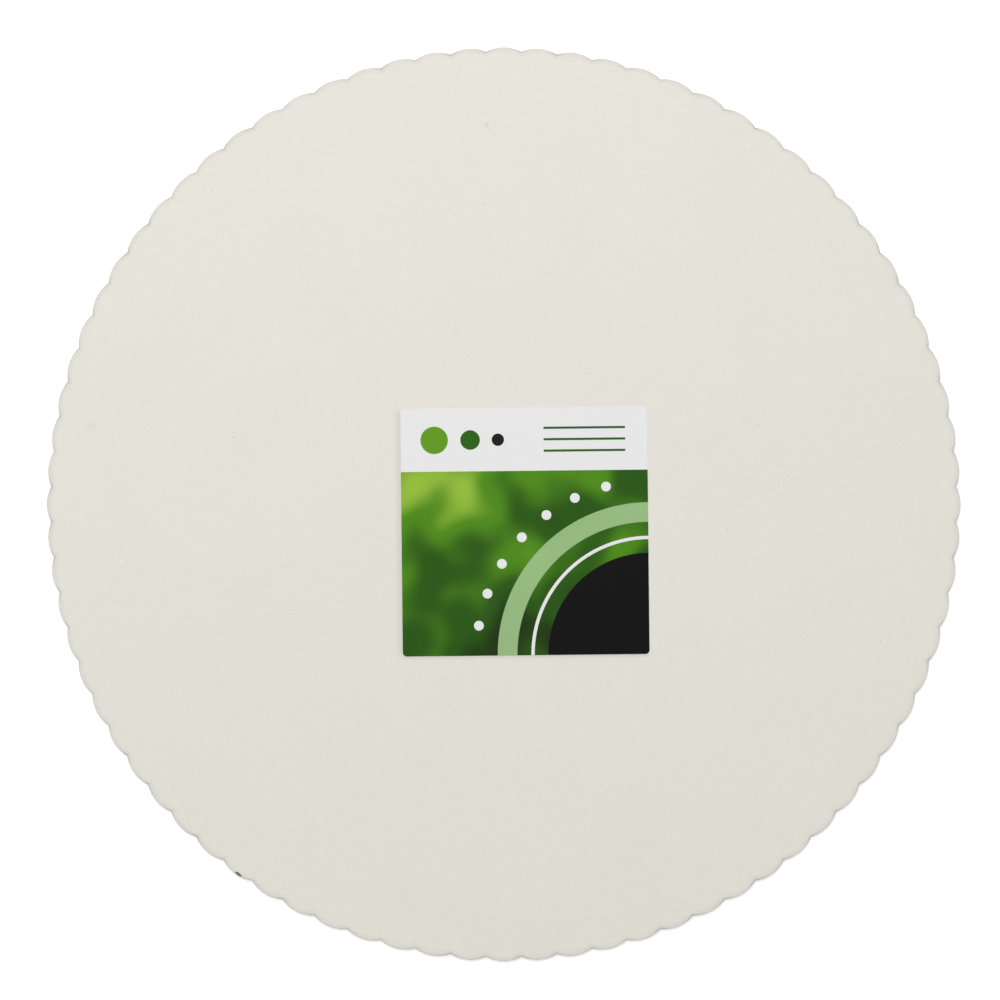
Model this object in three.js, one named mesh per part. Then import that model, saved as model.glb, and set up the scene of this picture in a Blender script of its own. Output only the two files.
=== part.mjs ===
// A round cake board of pressed wood pulp with a scalloped edge, and the square paper label on its face.
// Millimetres, +Z up. The board lies flat: its underside is at z = 0 and its centre is on the Z axis.
import * as THREE from "three";

// Board
const boardDiameter = 280; // across two opposite scallop tips
const boardThickness = 1.5;
const scallopWidth = 11; // along the rim; the count is rounded so that the ring of scallops closes
const scallopDepth = 1.2; // from the tips in to the notches
const notchRadius = 0.4; // the round bottom of each notch
const edgeRounding = 0.25; // the cutting die presses the rim's two corners round

// Label
const labelWidth = 75.6;
const labelHeight = 75.8;
const labelThickness = 0.125;
const labelCornerRadius = 1.2;
const labelX = 6.5; // its centre, from the board's centre
const labelY = -8.4;
const labelTurn = 0.6; // degrees, anticlockwise: it is stuck on slightly crooked

// How finely the round stretches are cut into straight steps
const scallopSteps = 6;
const notchSteps = 2;
const roundingSteps = 2;
const labelCornerSteps = 3;

const pulpCard = new THREE.MeshStandardMaterial({ color: 0xe2dfd6, roughness: 0.9, metalness: 0 });
const labelPaper = new THREE.MeshStandardMaterial({ color: 0x4c8426, roughness: 0.5, metalness: 0 });

// Points along an arc, without its end, where the next arc starts.
function arcPoints(centre, radius, startAngle, endAngle, steps) {
  return Array.from({ length: steps }, (_, i) => {
    const angle = THREE.MathUtils.lerp(startAngle, endAngle, i / steps);
    return new THREE.Vector2(radius, 0).rotateAround(new THREE.Vector2(), angle).add(centre);
  });
}

// A point at a distance and an angle from the board's centre.
function polar(distance, angle) {
  return new THREE.Vector2(distance * Math.cos(angle), distance * Math.sin(angle));
}

// The rim: each scallop is an arc that bulges outwards and runs smoothly into the small round of the next notch.
function rimPoints() {
  const tipRadius = boardDiameter / 2;
  const count = Math.round((Math.PI * boardDiameter) / scallopWidth);
  const halfPitch = Math.PI / count;

  // The notch's circle lies outside the rim, midway between two scallops
  const notchDistance = tipRadius - scallopDepth + notchRadius;
  const notchAlong = notchDistance * Math.cos(halfPitch);
  const notchAcross = notchDistance * Math.sin(halfPitch);

  // The scallop's circle passes through the tip and touches the notch's circle
  const scallopRadius =
    (tipRadius ** 2 + notchDistance ** 2 - 2 * tipRadius * notchAlong - notchRadius ** 2) /
    (2 * (tipRadius - notchAlong + notchRadius));
  const scallopDistance = tipRadius - scallopRadius;
  const spread = Math.atan2(notchAcross, notchAlong - scallopDistance);

  return Array.from({ length: count }, (_, i) => {
    const tip = 2 * halfPitch * i;
    const notch = tip + halfPitch;
    const scallopCentre = polar(scallopDistance, tip);
    const notchCentre = polar(notchDistance, notch);
    const notchStart = tip + spread + Math.PI;
    const notchEnd = tip + 2 * halfPitch - spread + Math.PI;
    return [
      ...arcPoints(scallopCentre, scallopRadius, tip - spread, tip + spread, scallopSteps),
      ...arcPoints(notchCentre, notchRadius, notchStart, notchEnd, notchSteps),
    ];
  }).flat();
}

// The board: the rim's outline at full size in the middle of the card, with its two corners rounded.
function makeBoard() {
  const geometry = new THREE.ExtrudeGeometry(new THREE.Shape(rimPoints()), {
    depth: boardThickness - 2 * edgeRounding,
    bevelThickness: edgeRounding,
    bevelSize: edgeRounding,
    bevelOffset: -edgeRounding,
    bevelSegments: roundingSteps,
  });
  const board = new THREE.Mesh(geometry, pulpCard);
  board.name = "board";
  board.position.z = edgeRounding;
  return board;
}

// A rectangle about the origin with rounded corners.
function roundedRectangle(width, height, radius) {
  const right = width / 2 - radius;
  const top = height / 2 - radius;
  const quarter = Math.PI / 2;
  const corners = [
    [right, top],
    [-right, top],
    [-right, -top],
    [right, -top],
  ];
  const shape = new THREE.Shape();
  corners.forEach(([x, y], i) => shape.absarc(x, y, radius, i * quarter, (i + 1) * quarter));
  return shape;
}

// The label lies on the board's upper face.
function makeLabel() {
  const geometry = new THREE.ExtrudeGeometry(roundedRectangle(labelWidth, labelHeight, labelCornerRadius), {
    depth: labelThickness,
    bevelEnabled: false,
    curveSegments: labelCornerSteps,
  });
  const label = new THREE.Mesh(geometry, labelPaper);
  label.name = "label";
  label.position.set(labelX, labelY, boardThickness);
  label.rotation.z = THREE.MathUtils.degToRad(labelTurn);
  return label;
}

const cakeBoard = new THREE.Group();
cakeBoard.name = "cake_board";
cakeBoard.add(makeBoard(), makeLabel());

export default cakeBoard;
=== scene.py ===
"""A round cake board of pressed wood pulp with a scalloped edge and a square paper label, seen from above.

Metres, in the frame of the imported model: the board's underside is at z = 0, its centre is on the Z axis.
"""

import math

import bmesh
import bpy
from mathutils import Matrix, Vector, noise
from mathutils.geometry import delaunay_2d_cdt


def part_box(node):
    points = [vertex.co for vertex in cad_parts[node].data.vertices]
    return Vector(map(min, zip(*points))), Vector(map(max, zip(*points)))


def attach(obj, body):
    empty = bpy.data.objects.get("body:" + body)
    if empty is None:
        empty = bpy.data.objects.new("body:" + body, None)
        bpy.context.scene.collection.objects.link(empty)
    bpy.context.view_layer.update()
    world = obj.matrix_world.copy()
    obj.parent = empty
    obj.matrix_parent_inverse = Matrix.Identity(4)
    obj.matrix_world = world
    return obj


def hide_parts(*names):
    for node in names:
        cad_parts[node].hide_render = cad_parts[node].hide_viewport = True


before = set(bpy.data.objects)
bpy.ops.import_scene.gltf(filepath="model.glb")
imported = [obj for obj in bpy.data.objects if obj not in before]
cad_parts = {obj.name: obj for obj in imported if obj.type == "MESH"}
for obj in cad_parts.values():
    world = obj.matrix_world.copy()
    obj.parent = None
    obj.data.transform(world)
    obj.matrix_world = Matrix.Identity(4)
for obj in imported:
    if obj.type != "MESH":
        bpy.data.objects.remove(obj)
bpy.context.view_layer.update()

MM = 0.001
board_low, board_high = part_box("board")
label_low, label_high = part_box("label")

# The board's rim, as the solid has it
TIP_RADIUS = (board_high.x - board_low.x) / 2
BOARD_TOP = board_high.z
SCALLOPS = 80
SCALLOP_DEPTH = 1.2 * MM
NOTCH_RADIUS = 0.4 * MM
RIM_ROUNDING = 0.25 * MM

# How finely the board's mesh is cut
SCALLOP_STEPS = 16
NOTCH_STEPS = 5
ROUNDING_STEPS = 3
CUT_ROWS = 5
FACE_GRID = 2.5 * MM
FLAT_MARGIN = 0.15 * MM  # a flat strip inside each rounded corner keeps its shading off the face

# How far from true the board's surfaces are
CUT_ROUGHNESS = 0.03 * MM
CUT_TEAR = 0.5 * MM  # the length of a torn spot along the edge; it is a quarter of that in height
RIPPLE_DEPTH = 0.03 * MM
RIPPLE_LENGTH = 14 * MM
FINE_RIPPLE = 2.3  # how many times shorter the second, half as deep ripple is
RIPPLE_FADE = 5 * MM  # the faces are flat at the rim, and the upper one is under the label

# The label, as the solid has it
LABEL_WIDTH = 75.6 * MM
LABEL_HEIGHT = 75.8 * MM
LABEL_CORNER = 1.2 * MM
LABEL_TURN = math.radians(0.6)
LABEL_CENTRE = (label_low + label_high) / 2
LABEL_EDGE_ROUNDING = 0.03 * MM
LABEL_CORNER_STEPS = 8
LABEL_EDGE_STEPS = 2
LABEL_GRID = 2.5 * MM
LABEL_COCKLE = 0.02 * MM
LABEL_COCKLE_LENGTH = 9 * MM
LABEL_COCKLE_FADE = 2 * MM  # the label lies flat at its edge

# The view: a long lens straight above, with the board's place and size in the photograph's frame
PICTURE_PIXELS = 1000
DISC_CENTRE_PIXELS = (503.7, 504.1)
DISC_RADIUS_PIXELS = 457
SENSOR = 36 * MM
LENS = 100 * MM


# Shapes


def arc(centre, radius, start, end, steps):
    """Points along an arc, without its end, where the next arc starts."""
    angles = [start + (end - start) * i / steps for i in range(steps)]
    return [(centre[0] + radius * math.cos(a), centre[1] + radius * math.sin(a)) for a in angles]


def polar(distance, angle):
    return distance * math.cos(angle), distance * math.sin(angle)


# Each scallop's circle passes through the tip and touches the small circle of the notch beside it
HALF_PITCH = math.pi / SCALLOPS
NOTCH_DISTANCE = TIP_RADIUS - SCALLOP_DEPTH + NOTCH_RADIUS
NOTCH_ALONG, NOTCH_ACROSS = polar(NOTCH_DISTANCE, HALF_PITCH)
SCALLOP_RADIUS = (TIP_RADIUS**2 + NOTCH_DISTANCE**2 - 2 * TIP_RADIUS * NOTCH_ALONG - NOTCH_RADIUS**2) / (
    2 * (TIP_RADIUS - NOTCH_ALONG + NOTCH_RADIUS)
)
SCALLOP_DISTANCE = TIP_RADIUS - SCALLOP_RADIUS


def rim_outline(inset):
    """The scallops and the small rounds of the notches between them, moved in from the rim by inset."""
    spread = math.atan2(NOTCH_ACROSS, NOTCH_ALONG - SCALLOP_DISTANCE)
    turn = HALF_PITCH - spread
    points = []
    for i in range(SCALLOPS):
        tip = 2 * HALF_PITCH * i
        notch = tip + HALF_PITCH
        points += arc(
            polar(SCALLOP_DISTANCE, tip), SCALLOP_RADIUS - inset, tip - spread, tip + spread, SCALLOP_STEPS
        )
        points += arc(
            polar(NOTCH_DISTANCE, notch),
            NOTCH_RADIUS + inset,
            notch + math.pi - turn,
            notch + math.pi + turn,
            NOTCH_STEPS,
        )
    return points


def label_outline(inset):
    """The label's rounded square about the origin, moved in from its edge by inset."""
    right = LABEL_WIDTH / 2 - LABEL_CORNER
    top = LABEL_HEIGHT / 2 - LABEL_CORNER
    points = []
    for i, (x, y) in enumerate([(right, top), (-right, top), (-right, -top), (right, -top)]):
        start = i * math.pi / 2
        step = math.pi / 2 / LABEL_CORNER_STEPS
        points += arc(
            (x, y), LABEL_CORNER - inset, start, start + math.pi / 2 + step, LABEL_CORNER_STEPS + 1
        )
    return points


def hex_grid(reach, spacing, holds):
    """Points of a triangular grid within reach of the origin along X and Y, where holds says so."""
    row_height = spacing * math.sqrt(3) / 2
    rows = int(reach / row_height)
    columns = int(reach / spacing) + 1
    points = []
    for row in range(-rows, rows + 1):
        shift = (row % 2) * spacing / 2
        for column in range(-columns, columns + 1):
            x, y = column * spacing + shift, row * row_height
            if holds(x, y):
                points.append((x, y))
    return points


def rounded_edge(low, high, rounding, steps, rows, margin):
    """A flat sheet's edge as (inset, z), from its lower face over two rounded corners to its upper face."""
    corner = [
        (rounding * (1 - math.sin(a)), rounding * (1 - math.cos(a)))
        for a in (math.pi / 2 * i / steps for i in range(steps + 1))
    ]
    lower = [(inset, low + rise) for inset, rise in corner]
    upper = [(inset, high - drop) for inset, drop in reversed(corner)]
    wall_low, wall_high = low + rounding, high - rounding
    wall = [(0, wall_low + (wall_high - wall_low) * i / rows) for i in range(1, rows)]
    flat = rounding + margin
    return [(flat, low)] + lower + wall + upper + [(flat, high)]


def make_sheet(name, outline, edge, inside, shape):
    """A thin closed sheet: rings of its outline up the edge, with the inside points on both faces."""
    count = len(outline(0))
    rings = [(x, y, z) for inset, z in edge for x, y in outline(inset)]
    low, high = edge[0][1], edge[-1][1]
    vertices = rings + [(x, y, low) for x, y in inside] + [(x, y, high) for x, y in inside]

    faces = []
    for ring in range(len(edge) - 1):
        for i in range(count):
            a, b = ring * count + i, ring * count + (i + 1) % count
            faces.append((a, b, b + count, a + count))

    flat_points = [Vector(p) for p in outline(edge[0][0]) + list(inside)]
    _, _, triangles, sources, _, _ = delaunay_2d_cdt(flat_points, [], [list(range(count))], 1, 1e-9)
    last_ring, lower_inside = (len(edge) - 1) * count, len(rings)
    upper_inside = lower_inside + len(inside)
    for triangle in triangles:
        corners = [sources[v][0] for v in triangle]
        faces.append([c if c < count else lower_inside + c - count for c in reversed(corners)])
        faces.append([last_ring + c if c < count else upper_inside + c - count for c in corners])

    mesh = bpy.data.meshes.new(name)
    mesh.from_pydata([shape(Vector(v)) for v in vertices], [], faces)
    tidy = bmesh.new()
    tidy.from_mesh(mesh)
    bmesh.ops.recalc_face_normals(tidy, faces=tidy.faces)
    tidy.to_mesh(mesh)
    tidy.free()
    mesh.shade_smooth()
    piece = bpy.data.objects.new(name, mesh)
    bpy.context.collection.objects.link(piece)
    return piece


def label_local(point):
    """A point of the board's plane as the label sees it, from the label's centre along its sides."""
    return Matrix.Rotation(-LABEL_TURN, 2) @ (point.xy - LABEL_CENTRE.xy)


def outside_label(point):
    """How far a point lies outside the label's square."""
    local = label_local(point)
    across = abs(local.x) - LABEL_WIDTH / 2
    along = abs(local.y) - LABEL_HEIGHT / 2
    return math.hypot(max(across, 0), max(along, 0))


def board_shape(point):
    """The faces sink a few hundredths of a millimetre here and there, and the cut edge is a little torn."""
    radius = point.xy.length
    if 0 < point.z < BOARD_TOP:
        tear = noise.noise(Vector((point.x, point.y, 4 * point.z)) / CUT_TEAR)
        scale = 1 - CUT_ROUGHNESS * (0.5 + 0.5 * tear) / radius
        return Vector((point.x * scale, point.y * scale, point.z))
    upper = point.z > 0
    room = TIP_RADIUS - 2 * SCALLOP_DEPTH - radius
    if upper:
        room = min(room, outside_label(point))
    fade = min(max(room / RIPPLE_FADE, 0), 1)
    wave = noise.noise(point / RIPPLE_LENGTH) + 0.5 * noise.noise(point / RIPPLE_LENGTH * FINE_RIPPLE)
    sink = RIPPLE_DEPTH * fade * min(max(0.5 + 0.5 * wave, 0), 1)
    return point - Vector((0, 0, sink if upper else -sink))


def make_board():
    edge = rounded_edge(0, BOARD_TOP, RIM_ROUNDING, ROUNDING_STEPS, CUT_ROWS, FLAT_MARGIN)
    reach = TIP_RADIUS - SCALLOP_DEPTH - RIM_ROUNDING - FACE_GRID / 2
    inside = hex_grid(reach, FACE_GRID, lambda x, y: math.hypot(x, y) < reach)
    return make_sheet("pulp_board", rim_outline, edge, inside, board_shape)


def label_shape(point):
    """Puts the label in its place, with its upper face very slightly cockled."""
    rise = point.z - BOARD_TOP
    cockle = LABEL_COCKLE * (0.5 + 0.5 * noise.noise(point / LABEL_COCKLE_LENGTH))
    room = min(LABEL_WIDTH / 2 - abs(point.x), LABEL_HEIGHT / 2 - abs(point.y))
    fade = min(max(room / LABEL_COCKLE_FADE, 0), 1)
    placed = Matrix.Rotation(LABEL_TURN, 2) @ point.xy + LABEL_CENTRE.xy
    sink = cockle * fade if rise > 0 else 0
    return Vector((placed.x, placed.y, point.z - sink))


def make_label():
    edge = rounded_edge(
        BOARD_TOP, label_high.z, LABEL_EDGE_ROUNDING, LABEL_EDGE_STEPS, 1, LABEL_EDGE_ROUNDING
    )
    right, top = LABEL_WIDTH / 2 - LABEL_CORNER, LABEL_HEIGHT / 2 - LABEL_CORNER
    inside = hex_grid(right, LABEL_GRID, lambda x, y: abs(x) < right and abs(y) < top)
    return make_sheet("paper_label", label_outline, edge, inside, label_shape)


# Materials


def srgb(red, green, blue):
    """A colour of 0 to 255 a channel, as it is seen on screen, in the linear form that nodes take."""
    parts = [c / 255 for c in (red, green, blue)]
    return [c / 12.92 if c <= 0.04045 else ((c + 0.055) / 1.055) ** 2.4 for c in parts] + [1]


class Graph:
    """The nodes of one material, added and wired a call at a time."""

    def __init__(self, name):
        self.material = bpy.data.materials.new(name)
        self.material.use_nodes = True
        self.tree = self.material.node_tree
        self.tree.nodes.clear()

    def add(self, kind, inputs=None, **settings):
        node = self.tree.nodes.new("ShaderNode" + kind)
        for key, value in settings.items():
            setattr(node, key, value)
        for key, value in (inputs or {}).items():
            if isinstance(value, bpy.types.NodeSocket):
                self.tree.links.new(value, node.inputs[key])
            else:
                node.inputs[key].default_value = value
        return node

    def math(self, operation, *values, clamp=False):
        return self.add("Math", dict(enumerate(values)), operation=operation, use_clamp=clamp).outputs[0]

    def vector(self, operation, *values):
        return self.add("VectorMath", dict(enumerate(values)), operation=operation).outputs["Vector"]

    def length(self, vector):
        return self.add("VectorMath", {0: vector}, operation="LENGTH").outputs["Value"]

    def split(self, vector):
        return self.add("SeparateXYZ", {0: vector}).outputs

    def scaled(self, vector, factor):
        return self.add("VectorMath", {0: vector, "Scale": factor}, operation="SCALE").outputs["Vector"]

    def ramp(self, value, start, end, low=0.0, high=1.0):
        """A smooth change from low to high as value goes from start to end."""
        inputs = {"Value": value, "From Min": start, "From Max": end, "To Min": low, "To Max": high}
        return self.add("MapRange", inputs, interpolation_type="SMOOTHSTEP").outputs["Result"]

    def uneven(self, value, strength, about=1.0):
        """A value about the given one, which follows a noise up and down."""
        return self.math("MULTIPLY_ADD", self.math("SUBTRACT", value, 0.5), strength, about)

    def upright(self):
        """How level the surface is: 1 on a flat face, 0 on the cut edge."""
        return self.math("ABSOLUTE", self.split(self.add("NewGeometry").outputs["Normal"])[2])

    def mix(self, factor, below, above):
        node = self.add("Mix", {0: factor, 6: below, 7: above}, data_type="RGBA")
        return node.outputs[2]

    def noise(self, at, size, detail=2.0, distortion=0.0):
        """A soft random value about 0.5, with blotches of about the size given in the units of at."""
        inputs = {"Vector": at, "Scale": 1 / size, "Detail": detail, "Distortion": distortion}
        return self.add("TexNoise", inputs).outputs[0]

    def strands(self, at, size, width):
        """Thin curling lines, 1 along the middle of each."""
        middle = self.math("ABSOLUTE", self.math("SUBTRACT", self.noise(at, size, 1.5, 1.2), 0.5))
        return self.ramp(middle, 0, width, 1, 0)

    def millimetres(self):
        """Where a point of the surface is, in millimetres."""
        return self.scaled(self.add("TexCoord").outputs["Object"], 1 / MM)

    def finish(self, shader):
        self.add("OutputMaterial", {"Surface": shader})
        return self.material


PULP = srgb(227, 224, 215)
CUT_PULP = srgb(219, 213, 201)
SPECK = srgb(120, 108, 90)
SPECK_COVER = 0.6
RIM_DASH = srgb(106, 105, 100)

# Unevenness of the pulp's tone: the size of its blotches in millimetres, their detail and their strength
CLOUD = (28, 2, 0.03)
MOTTLE = (2.2, 4, 0.06)
GRAIN = (0.85, 3, 0.06)
CUT_LAYERS = (1.1, 3, 0.35)
CUT_LAYERS_STRETCH = (0.7, 0.7, 9.0)

# Short curling fibres: their size and width in millimetres and how much lighter or darker they are
PALE_FIBRE = (1.7, 0.022, 0.018)
DARK_FIBRE = (2.3, 0.014, -0.022)

# Scattered spots: the size of the cells that hold them, the share of cells, and a spot's radius
PALE_SPOTS = (9, 0.6, 0.75)
PALE_SPOT_TONE = 0.03
DARK_SPOTS = (13, 0.5, 0.7)
DARK_SPOT_TONE = -0.025
SPECKS = (40, 0.4, 0.25)

# Shifts that keep one random pattern off the next
DARK_FIBRE_SHIFT = (37.0, 11.0, 5.0)
DARK_SPOT_SHIFT = (5.0, 3.0, 0.0)
SPECK_SHIFT = (2.0, 7.0, 0.0)

# The marks on the board that show in the photograph: millimetres from its centre, radius and strength
DARK_MARKS = [
    (-5.1, 116.1, 1.0, 0.10),
    (-4.6, 115.0, 0.5, 0.10),
    (-126.7, 23.6, 2.1, 0.04),
    (68.4, -7.9, 0.5, 0.12),
    (100.0, 79.9, 0.6, 0.07),
    (-25.0, 36.8, 0.45, 0.08),
    (-28.7, -121.3, 0.4, 0.10),
    (-14.9, 88.6, 0.45, 0.08),
    (-58.1, 108.2, 0.6, 0.06),
    (-14.6, -63.4, 0.4, 0.10),
    (92.0, -96.2, 0.3, 0.10),
]
PALE_MARKS = [
    (-116.9, -17.4, 1.1, 0.05),
    (-59.3, 29.7, 0.6, 0.06),
    (-110.5, 0.6, 0.5, 0.06),
    (77.0, 18.1, 0.6, 0.05),
    (43.9, 39.9, 0.5, 0.06),
    (-66.1, 63.7, 0.4, 0.06),
]

# The short dark mark on the rim's edge: where it is, and half its size outwards, along and down
RIM_DASH_DISTANCE = 139.5
RIM_DASH_ANGLE = math.radians(234.4)
RIM_DASH_HALF_SIZE = (0.5, 1.45, 0.8)
RIM_DASH_RAGGEDNESS = (0.7, 1.2)

# A dark line of painted shade along the rim, darkest at the notches, and a narrow band inside it a little
# darker
RIM_LINE = (0.1, 0.9)
RIM_LINE_AT_TIP = 0.05
RIM_LINE_AT_NOTCH = 0.24
RIM_BAND = (0.9, 1.9)
RIM_BAND_TONE = 0.05
RIM_UNEVENNESS = (5.0, 3, 1.6)

# The shade on the board beside the label: how far it reaches, how long it is, and how dark
SHADE_LEFT = 2.6
SHADE_BELOW = 1.6
SHADE_ENDS = (36, 39)
SHADE_OVERLAP = 0.3
SHADE_TONE = -0.14


def marks_amount(graph, at, marks):
    """The strength of the marks that cover each point, added up."""
    total = 0.0
    for x, y, radius, strength in marks:
        away = graph.length(graph.vector("SUBTRACT", at, (x, y, BOARD_TOP / MM)))
        total = graph.math("ADD", total, graph.ramp(away, radius * 0.3, radius, strength, 0))
    return total


def contact_shade(graph, at):
    """A painted shadow: a faint darker line on the board's upper face beside the label's left and lower
    edges.
    """
    turned = graph.add("VectorRotate", {"Vector": at, "Angle": -LABEL_TURN}, rotation_type="Z_AXIS")
    centre = Matrix.Rotation(-LABEL_TURN, 3, "Z") @ LABEL_CENTRE / MM
    x, y, _ = graph.split(graph.vector("SUBTRACT", turned.outputs[0], centre))
    left = graph.math("SUBTRACT", graph.math("MULTIPLY", x, -1), LABEL_WIDTH / 2 / MM)
    below = graph.math("SUBTRACT", graph.math("MULTIPLY", y, -1), LABEL_HEIGHT / 2 / MM)
    beside = graph.math(
        "MULTIPLY", graph.ramp(left, 0, SHADE_LEFT, 1, 0), graph.ramp(left, -SHADE_OVERLAP, 0)
    )
    under = graph.math(
        "MULTIPLY", graph.ramp(below, 0, SHADE_BELOW, 1, 0), graph.ramp(below, -SHADE_OVERLAP, 0)
    )
    in_height = graph.ramp(graph.math("ABSOLUTE", y), *SHADE_ENDS, 1, 0)
    in_width = graph.ramp(graph.math("ABSOLUTE", x), *SHADE_ENDS, 1, 0)
    shade = graph.math(
        "MAXIMUM", graph.math("MULTIPLY", beside, in_height), graph.math("MULTIPLY", under, in_width)
    )
    middle, top = BOARD_TOP / 2 / MM, BOARD_TOP / MM
    return graph.math("MULTIPLY", shade, graph.ramp(graph.split(at)[2], middle, 0.9 * top))


def rim_shade(graph, at):
    """How much darker the rim is than the face: a painted shade line at the edge, most at the notches, and a
    narrow band inside it, a little unevenly.
    """
    x, y, _ = graph.split(at)
    from_tip = graph.math("PINGPONG", graph.math("ARCTAN2", y, x), HALF_PITCH)
    radius = graph.length(graph.add("CombineXYZ", {"X": x, "Y": y}).outputs[0])
    along = graph.math("MULTIPLY", radius, graph.math("COSINE", from_tip))
    across = graph.math("MULTIPLY", radius, graph.math("SINE", from_tip))
    beyond = graph.math("MAXIMUM", graph.math("SUBTRACT", along, SCALLOP_DISTANCE / MM), 0.0)
    from_middle = graph.length(graph.add("CombineXYZ", {"X": beyond, "Y": across}).outputs[0])
    inset = graph.math("SUBTRACT", SCALLOP_RADIUS / MM, from_middle)
    # the dark line at the edge is painted shade, deepest in the notches
    at_notch = graph.ramp(from_tip, 0.35 * HALF_PITCH, HALF_PITCH, RIM_LINE_AT_TIP, RIM_LINE_AT_NOTCH)
    line = graph.math("MULTIPLY", graph.ramp(inset, *RIM_LINE, 1, 0), at_notch)
    band = graph.ramp(inset, *RIM_BAND, RIM_BAND_TONE, 0)
    size, detail, strength = RIM_UNEVENNESS
    uneven = graph.uneven(graph.noise(at, size, detail), strength)
    return graph.math("MULTIPLY", graph.math("ADD", line, band), uneven)


def rim_dash_amount(graph, at):
    """1 on the short dark mark at the lower left of the rim."""
    x, y = polar(RIM_DASH_DISTANCE, RIM_DASH_ANGLE)
    away = graph.vector("SUBTRACT", at, (x, y, BOARD_TOP / MM))
    turned = graph.add("VectorRotate", {"Vector": away, "Angle": -RIM_DASH_ANGLE}, rotation_type="Z_AXIS")
    ragged = graph.uneven(graph.noise(at, RIM_DASH_RAGGEDNESS[0]), RIM_DASH_RAGGEDNESS[1])
    reach = graph.length(graph.vector("DIVIDE", turned.outputs[0], RIM_DASH_HALF_SIZE))
    return graph.ramp(graph.math("MULTIPLY", reach, ragged), 0.7, 1.0, 1, 0)


def scattered(graph, at, cell, share, radius):
    """Small round spots, one in each of a share of the cells, some strong and some faint."""
    cells = graph.add("TexVoronoi", {"Vector": at, "Scale": 1 / cell}, voronoi_dimensions="2D")
    strength = graph.ramp(graph.split(cells.outputs["Color"])[0], 1 - share, 1)
    reach = graph.math("MULTIPLY", cells.outputs["Distance"], cell)
    return graph.math("MULTIPLY", graph.ramp(reach, 0.3 * radius, radius, 1, 0), strength)


def pulp_tone(graph, at, mottle, grain, pale_fibre):
    """The brightness of the board's faces: its unevenness, fibres, spots and marks, and the painted shade
    along its rim and beside the label.
    """
    cloud_size, cloud_detail, cloud_strength = CLOUD
    dark_size, dark_width, dark_strength = DARK_FIBRE
    dark_fibre = graph.strands(graph.vector("ADD", at, DARK_FIBRE_SHIFT), dark_size, dark_width)
    pale_spots = scattered(graph, at, *PALE_SPOTS)
    dark_spots = scattered(graph, graph.vector("ADD", at, DARK_SPOT_SHIFT), *DARK_SPOTS)

    tone = graph.uneven(graph.noise(at, cloud_size, cloud_detail), cloud_strength)
    tone = graph.uneven(mottle, MOTTLE[2], tone)
    tone = graph.uneven(grain, GRAIN[2], tone)
    tone = graph.math("MULTIPLY_ADD", pale_fibre, PALE_FIBRE[2], tone)
    tone = graph.math("MULTIPLY_ADD", dark_fibre, dark_strength, tone)
    tone = graph.math("MULTIPLY_ADD", pale_spots, PALE_SPOT_TONE, tone)
    tone = graph.math("MULTIPLY_ADD", dark_spots, DARK_SPOT_TONE, tone)
    tone = graph.math("SUBTRACT", tone, marks_amount(graph, at, DARK_MARKS))
    tone = graph.math("ADD", tone, marks_amount(graph, at, PALE_MARKS))
    tone = graph.math("MULTIPLY_ADD", contact_shade(graph, at), SHADE_TONE, tone)
    return graph.math("SUBTRACT", tone, rim_shade(graph, at))


def pulp_material():
    """Matt off-white pulp card: cloudy, finely mottled, with short fibres, specks and a warmer cut edge."""
    graph = Graph("pulp_card")
    at = graph.millimetres()
    mottle = graph.noise(at, *MOTTLE[:2])
    grain = graph.noise(at, *GRAIN[:2])
    pale_fibre = graph.strands(at, *PALE_FIBRE[:2])
    tone = pulp_tone(graph, at, mottle, grain, pale_fibre)

    # The cut edge shows the card's layers end on
    cut = graph.ramp(graph.upright(), 0.25, 0.85, 1, 0)
    layers = graph.noise(graph.vector("MULTIPLY", at, CUT_LAYERS_STRETCH), *CUT_LAYERS[:2])
    cut_tone = graph.uneven(layers, CUT_LAYERS[2])

    speck = scattered(graph, graph.vector("ADD", at, SPECK_SHIFT), *SPECKS)
    face = graph.mix(graph.math("MULTIPLY", speck, SPECK_COVER), graph.scaled(PULP[:3], tone), SPECK)
    colour = graph.mix(cut, face, graph.scaled(CUT_PULP[:3], cut_tone))
    colour = graph.mix(rim_dash_amount(graph, at), colour, RIM_DASH)

    height = graph.math("MULTIPLY_ADD", mottle, 0.6, graph.math("MULTIPLY", grain, 0.3))
    height = graph.math("MULTIPLY_ADD", pale_fibre, 0.12, height)
    height = graph.math("MULTIPLY_ADD", graph.math("MULTIPLY", layers, cut), 1.2, height)
    bump = graph.add("Bump", {"Strength": 0.6, "Distance": 0.05 * MM, "Height": height})
    shader = graph.add(
        "BsdfPrincipled",
        {
            "Base Color": colour,
            "Roughness": graph.ramp(mottle, 0.3, 0.7, 0.86, 0.97),
            "Specular IOR Level": 0.3,
            "Normal": bump.outputs[0],
        },
    )
    return graph.finish(shader.outputs[0])


LABEL_WHITE = srgb(230, 231, 230)
LABEL_BLACK = srgb(11, 11, 11)
LABEL_PALE = srgb(160, 196, 138)
GREENS = [
    (0.0, srgb(32, 54, 18)),
    (0.3, srgb(42, 86, 20)),
    (0.65, srgb(78, 136, 26)),
    (1.0, srgb(148, 188, 62)),
]

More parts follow.
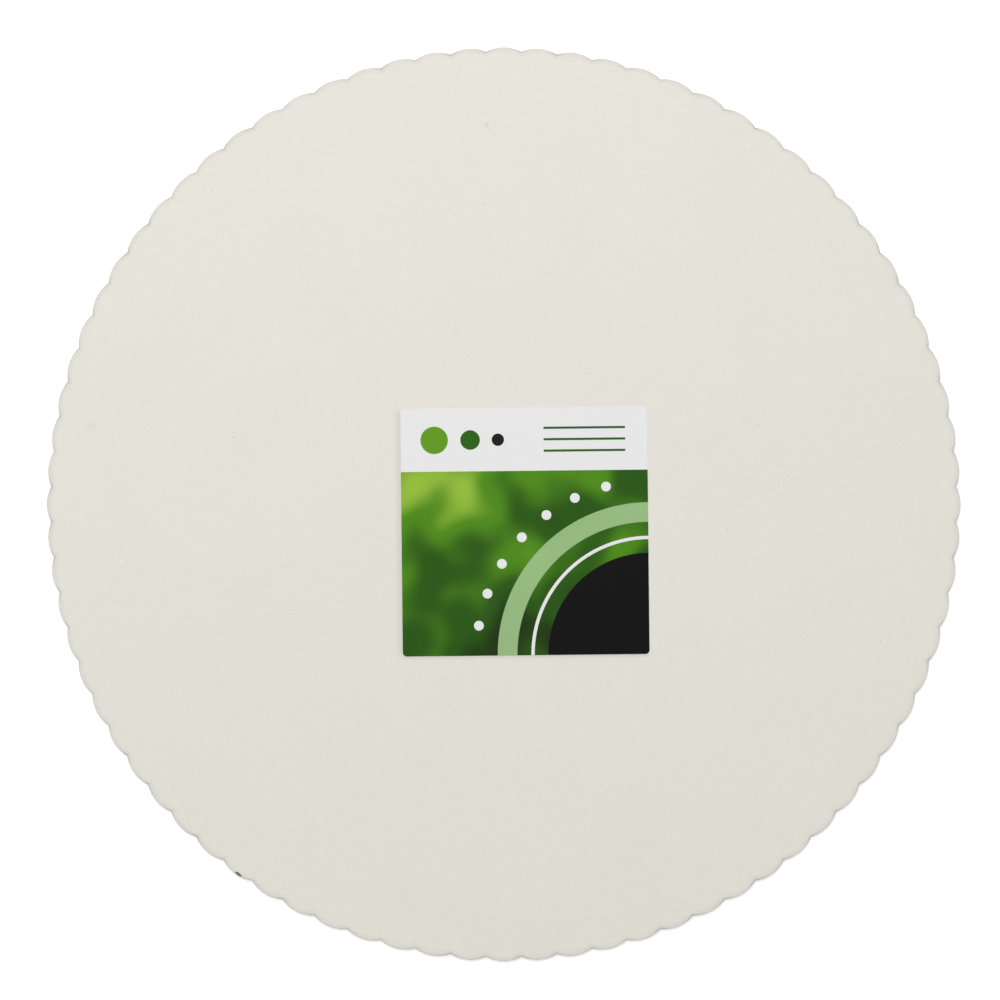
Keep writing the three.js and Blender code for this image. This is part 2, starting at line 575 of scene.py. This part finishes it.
# The print in millimetres from the label's centre: a white strip above, a black quarter disc in a corner
STRIP_FOOT = 18.6
DARK_CORNER = (37.8, -37.9)
DARK_RADIUS = 31
PALE_BAND = (40.5, 46.5)
FINE_LINE = (35.2, 36.2)
DOT_RING = 53
DOT_RADIUS = 1.5
DOT_ANGLES = [104, 115, 126, 137, 148, 159, 170]
STRIP_DISCS = [
    (-27.5, 4.2, srgb(96, 152, 34)),
    (-16.5, 3.0, srgb(44, 96, 24)),
    (-8.0, 1.9, srgb(26, 26, 24)),
]
STRIP_MIDDLE = 28.2
STRIP_LINE = (6.0, 31.0)
STRIP_LINE_RISES = (-3.5, 0, 3.5)
STRIP_LINE_HALF = 0.35
STRIP_LINE_COLOUR = srgb(44, 96, 24)
PALE_COVER = 0.85
PRINT_EDGE = 0.06

# The greens grow lighter to the left and upwards, a little for each millimetre, under soft blotches
GREEN_SLOPE = (-0.0055, 0.0085)
GREEN_MIDDLE = 0.46
GREEN_BLOTCH = (21, 1, 1.5)


def inside_disc(graph, spot, centre, radius):
    away = graph.length(graph.vector("SUBTRACT", spot, (centre[0], centre[1], 0.0)))
    return graph.ramp(away, radius - PRINT_EDGE, radius + PRINT_EDGE, 1, 0)


def inside_band(graph, spot, centre, inner, outer):
    away = graph.length(graph.vector("SUBTRACT", spot, (centre[0], centre[1], 0.0)))
    beyond_inner = graph.ramp(away, inner - PRINT_EDGE, inner + PRINT_EDGE)
    within_outer = graph.ramp(away, outer - PRINT_EDGE, outer + PRINT_EDGE, 1, 0)
    return graph.math("MULTIPLY", beyond_inner, within_outer)


def inside_box(graph, x, y, low, high):
    """1 inside the upright rectangle between two corners."""
    mask = 1.0
    for value, start, end in ((x, low[0], high[0]), (y, low[1], high[1])):
        mask = graph.math("MULTIPLY", mask, graph.ramp(value, start - PRINT_EDGE, start + PRINT_EDGE))
        mask = graph.math("MULTIPLY", mask, graph.ramp(value, end - PRINT_EDGE, end + PRINT_EDGE, 1, 0))
    return mask


def green_field(graph, spot, x, y):
    """Soft out-of-focus greens, light towards the upper left."""
    upwards = graph.math("MULTIPLY_ADD", y, GREEN_SLOPE[1], GREEN_MIDDLE)
    slope = graph.math("MULTIPLY_ADD", x, GREEN_SLOPE[0], upwards)
    size, detail, strength = GREEN_BLOTCH
    blotch = graph.math("SUBTRACT", graph.noise(spot, size, detail), 0.5)
    place = graph.math("MULTIPLY_ADD", blotch, strength, slope, clamp=True)
    ramp = graph.add("ValToRGB", {"Fac": place})
    ramp.color_ramp.interpolation = "EASE"
    stops = ramp.color_ramp.elements
    stops.new(GREENS[1][0])
    stops.new(GREENS[2][0])
    for stop, (position, colour) in zip(stops, GREENS):
        stop.position = position
        stop.color = colour
    return ramp.outputs["Color"]


def corner_print(graph, spot, colour):
    """The black quarter disc in the label's corner, and the pale band, fine line and dots round it."""
    pale = inside_band(graph, spot, DARK_CORNER, *PALE_BAND)
    colour = graph.mix(graph.math("MULTIPLY", pale, PALE_COVER), colour, LABEL_PALE)
    colour = graph.mix(inside_band(graph, spot, DARK_CORNER, *FINE_LINE), colour, LABEL_WHITE)
    for angle in DOT_ANGLES:
        dx, dy = polar(DOT_RING, math.radians(angle))
        dot = inside_disc(graph, spot, (DARK_CORNER[0] + dx, DARK_CORNER[1] + dy), DOT_RADIUS)
        colour = graph.mix(dot, colour, LABEL_WHITE)
    return graph.mix(inside_disc(graph, spot, DARK_CORNER, DARK_RADIUS), colour, LABEL_BLACK)


def strip_print(graph, spot, x, y, colour):
    """The white strip along the label's top, with three discs and three short lines."""
    strip = graph.ramp(y, STRIP_FOOT - PRINT_EDGE, STRIP_FOOT + PRINT_EDGE)
    colour = graph.mix(strip, colour, LABEL_WHITE)
    for disc_x, radius, disc_colour in STRIP_DISCS:
        colour = graph.mix(inside_disc(graph, spot, (disc_x, STRIP_MIDDLE), radius), colour, disc_colour)
    for rise in STRIP_LINE_RISES:
        low = (STRIP_LINE[0], STRIP_MIDDLE + rise - STRIP_LINE_HALF)
        high = (STRIP_LINE[1], STRIP_MIDDLE + rise + STRIP_LINE_HALF)
        colour = graph.mix(inside_box(graph, x, y, low, high), colour, STRIP_LINE_COLOUR)
    return colour


def label_material():
    """Satin printed paper: greens, a white strip and simple round shapes, with bare paper at its edge."""
    graph = Graph("label_print")
    at = graph.millimetres()
    centre = Vector((LABEL_CENTRE.x, LABEL_CENTRE.y, 0)) / MM
    from_centre = graph.vector("SUBTRACT", at, centre)
    turned = graph.add("VectorRotate", {"Vector": from_centre, "Angle": -LABEL_TURN}, rotation_type="Z_AXIS")
    x, y, _ = graph.split(turned.outputs[0])
    spot = graph.add("CombineXYZ", {"X": x, "Y": y}).outputs[0]

    colour = green_field(graph, spot, x, y)
    colour = corner_print(graph, spot, colour)
    colour = strip_print(graph, spot, x, y, colour)
    colour = graph.mix(graph.ramp(graph.upright(), 0.2, 0.7, 1, 0), colour, LABEL_WHITE)

    tooth = graph.noise(at, 0.35, 3)
    bump = graph.add("Bump", {"Strength": 0.3, "Distance": 0.02 * MM, "Height": tooth})
    shader = graph.add(
        "BsdfPrincipled",
        {
            "Base Color": graph.scaled(colour, graph.uneven(tooth, 0.04)),
            "Roughness": graph.ramp(tooth, 0.3, 0.7, 0.42, 0.52),
            "Specular IOR Level": 0.06,
            "Normal": bump.outputs[0],
        },
    )
    return graph.finish(shader.outputs[0])


# The stage: a white floor, a pale world, one large soft lamp and the camera


def seen_directly(graph):
    """1 where the eye, or a reflection, sees a surface, and 0 where it only lights others."""
    path = graph.add("LightPath").outputs
    mirrored = graph.math("ADD", path["Is Glossy Ray"], path["Is Transmission Ray"])
    return graph.math("ADD", path["Is Camera Ray"], mirrored, clamp=True)


FLOOR_SIZE = 8.0
FLOOR_GREY = 0.8
FLOOR_LIFT = 0.36  # how much of its white the floor has of itself, which leaves a soft shadow
FAR_LIFT = 0.8  # and where the lamp no longer reaches, so that it meets the world without a line
FLOOR_NEAR = 0.3
FLOOR_FAR = 1.2
UNDERSIDE_REACH = 0.12 * MM  # rays this short pass the floor, so light from below reaches the underside


def make_floor():
    graph = Graph("white_floor")
    away = graph.length(graph.add("TexCoord").outputs["Object"])
    white = graph.ramp(away, FLOOR_NEAR, FLOOR_FAR, FLOOR_LIFT, FAR_LIFT)
    lift = graph.math("MULTIPLY", seen_directly(graph), white)
    matt = graph.add("BsdfDiffuse", {"Color": (FLOOR_GREY, FLOOR_GREY, FLOOR_GREY, 1)}).outputs[0]
    glow = graph.add("Emission", {"Color": (1, 1, 1, 1), "Strength": lift}).outputs[0]
    above = graph.add("AddShader", {0: matt, 1: glow}).outputs[0]
    below = graph.add("BsdfTransparent").outputs[0]
    behind = graph.add("NewGeometry").outputs["Backfacing"]
    touching = graph.math("LESS_THAN", graph.add("LightPath").outputs["Ray Length"], UNDERSIDE_REACH)
    clear = graph.math("MAXIMUM", behind, touching)
    material = graph.finish(graph.add("MixShader", {0: clear, 1: above, 2: below}).outputs[0])

    half = FLOOR_SIZE / 2
    corners = [(-half, -half, 0), (half, -half, 0), (half, half, 0), (-half, half, 0)]
    mesh = bpy.data.meshes.new("floor")
    mesh.from_pydata(corners, [], [(0, 1, 2, 3)])
    mesh.materials.append(material)
    floor = bpy.data.objects.new("floor", mesh)
    bpy.context.collection.objects.link(floor)


WORLD_LIGHT = 0.5
WORLD_LIGHT_BELOW = 0.9  # the floor keeps it from all but the underside


class WorldGraph(Graph):
    """The world's nodes, wired in the same way."""

    def __init__(self, name):
        world = bpy.data.worlds.new(name)
        world.use_nodes = True
        bpy.context.scene.world = world
        self.tree = world.node_tree
        self.tree.nodes.clear()


def make_world():
    graph = WorldGraph("pale_world")
    height = graph.split(graph.add("TexCoord").outputs["Generated"])[2]
    light = graph.math("ADD", WORLD_LIGHT, graph.ramp(height, -0.1, 0, WORLD_LIGHT_BELOW - WORLD_LIGHT, 0))
    strength = graph.math("MAXIMUM", light, seen_directly(graph))
    background = graph.add("Background", {"Color": (1, 1, 1, 1), "Strength": strength})
    graph.add("OutputWorld", {"Surface": background.outputs[0]})


LAMP_PLACE = Vector((-0.16, 0.62, 1.25))
LAMP_SIZE = 0.9
LAMP_WATTS = 12.2


def make_lamp():
    lamp = bpy.data.lights.new("softbox", "AREA")
    lamp.size = LAMP_SIZE
    lamp.energy = LAMP_WATTS
    piece = bpy.data.objects.new("softbox", lamp)
    piece.location = LAMP_PLACE
    piece.rotation_euler = (-LAMP_PLACE).to_track_quat("-Z", "Y").to_euler()
    bpy.context.collection.objects.link(piece)


def make_camera():
    """Straight above, at the height and place that put the disc where the photograph has it."""
    pixels_per_metre = DISC_RADIUS_PIXELS / TIP_RADIUS
    camera = bpy.data.cameras.new("camera")
    camera.sensor_width = SENSOR / MM
    camera.lens = LENS / MM
    piece = bpy.data.objects.new("camera", camera)
    across = (PICTURE_PIXELS / 2 - DISC_CENTRE_PIXELS[0]) / pixels_per_metre
    up = (DISC_CENTRE_PIXELS[1] - PICTURE_PIXELS / 2) / pixels_per_metre
    height = LENS / SENSOR * PICTURE_PIXELS / pixels_per_metre
    piece.location = (across, up, BOARD_TOP + height)
    bpy.context.collection.objects.link(piece)
    bpy.context.scene.camera = piece


board = make_board()
board.data.materials.append(pulp_material())
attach(board, "root")
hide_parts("board")

label = make_label()
label.data.materials.append(label_material())
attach(label, "root")
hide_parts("label")

make_floor()
make_world()
make_lamp()
make_camera()
bpy.context.scene.view_settings.view_transform = "Standard"
